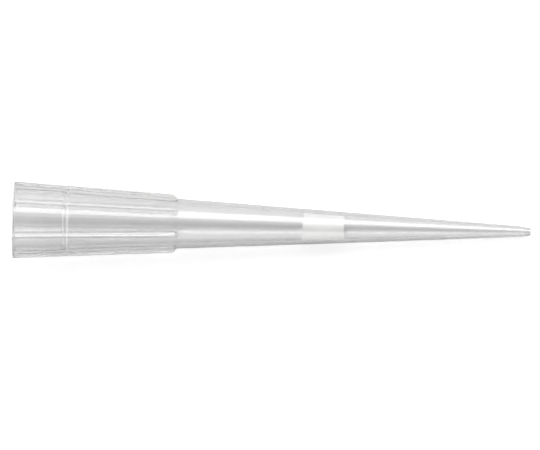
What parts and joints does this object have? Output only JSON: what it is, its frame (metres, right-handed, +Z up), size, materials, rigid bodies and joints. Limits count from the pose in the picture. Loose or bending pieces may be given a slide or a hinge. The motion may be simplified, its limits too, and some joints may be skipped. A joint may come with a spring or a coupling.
{
  "type": "filter pipette tip",
  "caption": "Clear tapered disposable tip for a small air-displacement pipette, with a ribbed collar, a stepped nozzle socket and a porous aerosol filter plug in its bore.",
  "frame": {"origin": "on the bench surface, under the middle of the tip as it lies on its side", "axes": "+Z up, +X from the mouth towards the orifice, +Y across"},
  "size_m": [0.0512, 0.0076, 0.0069],
  "materials": {
    "natural_polypropylene": "translucent, glossy, uncoloured injection moulding",
    "sintered_polyethylene": "matt white, finely porous"
  },
  "bodies": {
    "root": {"tip_body": "natural_polypropylene", "filter_plug": "sintered_polyethylene"}
  },
  "joints": []
}
